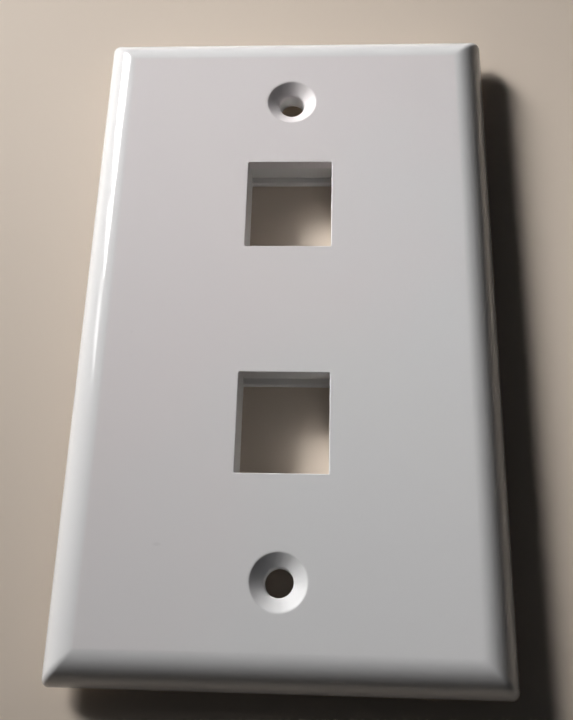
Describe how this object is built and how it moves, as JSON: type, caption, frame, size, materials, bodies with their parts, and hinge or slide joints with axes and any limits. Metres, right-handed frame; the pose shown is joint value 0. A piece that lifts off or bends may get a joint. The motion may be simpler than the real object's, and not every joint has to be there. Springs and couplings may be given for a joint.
{
  "type": "keystone faceplate",
  "caption": "Rectangular wall faceplate with a curved border, countersunk screw holes, and snap-in ports with housings behind them for keystone jacks.",
  "frame": {"origin": "middle of the plate on the wall plane, where the back of the rim lies", "axes": "+Z out of the wall through the face, +Y along the long side towards the lug side of the ports, +X to the right as the face is seen"},
  "size_m": [0.0698, 0.1142, 0.008],
  "materials": {
    "white_plastic": "glossy white moulded ABS"
  },
  "bodies": {
    "root": {"faceplate": "white_plastic"}
  },
  "joints": []
}
